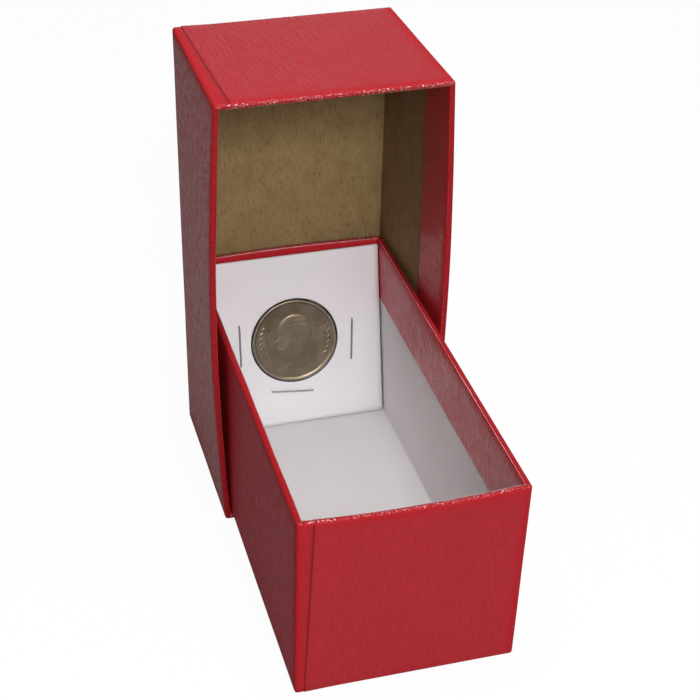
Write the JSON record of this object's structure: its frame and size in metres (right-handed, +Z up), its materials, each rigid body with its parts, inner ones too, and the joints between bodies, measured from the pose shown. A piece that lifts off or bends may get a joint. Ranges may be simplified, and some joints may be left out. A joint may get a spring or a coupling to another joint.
{
  "type": "coin storage box",
  "caption": "Red paper-covered rigid box for a row of square coin holders, open, its lid standing on end behind the white-lined tray that holds a stapled coin holder.",
  "frame": {"origin": "middle of the lid's lower end face, the face that the open box stands on", "axes": "+Z up, -Y the way the lid's mouth faces and the tray comes out, +X to the viewer's right"},
  "size_m": [0.0582, 0.1194, 0.1208],
  "materials": {
    "red_paper": "gloss",
    "chipboard": "matte",
    "white_liner": "matte",
    "stay_tape": "matte",
    "white_card": "matte",
    "clear_film": "gloss",
    "coin_metal": "satin",
    "staple_wire": "satin"
  },
  "bodies": {
    "tray": {"tray_board": "chipboard", "tray_liner": "white_liner", "tray_stay_front_left": "stay_tape", "tray_stay_front_right": "stay_tape", "tray_stay_rear_left": "stay_tape", "tray_stay_rear_right": "stay_tape", "tray_wrap": "red_paper", "tray_bottom_sheet": "red_paper"},
    "lid": {"lid_board": "chipboard", "lid_stay_lower_left": "stay_tape", "lid_stay_lower_right": "stay_tape", "lid_stay_upper_left": "stay_tape", "lid_stay_upper_right": "stay_tape", "lid_wrap": "red_paper", "lid_top_sheet": "red_paper"},
    "holder": {"holder_card": "white_card", "holder_front_film": "clear_film", "holder_rear_film": "clear_film", "coin": "coin_metal", "staple_left": "staple_wire", "staple_right": "staple_wire", "staple_bottom": "staple_wire"}
  },
  "joints": [
    {"name": "lid_slide", "type": "slide", "parent": "tray", "child": "lid", "axis": [0, 1, 0], "range_m": [0, 0.055]},
    {"name": "holder_lift", "type": "slide", "parent": "tray", "child": "holder", "axis": [0, 0, 1], "range_m": [0, 0.055]}
  ]
}
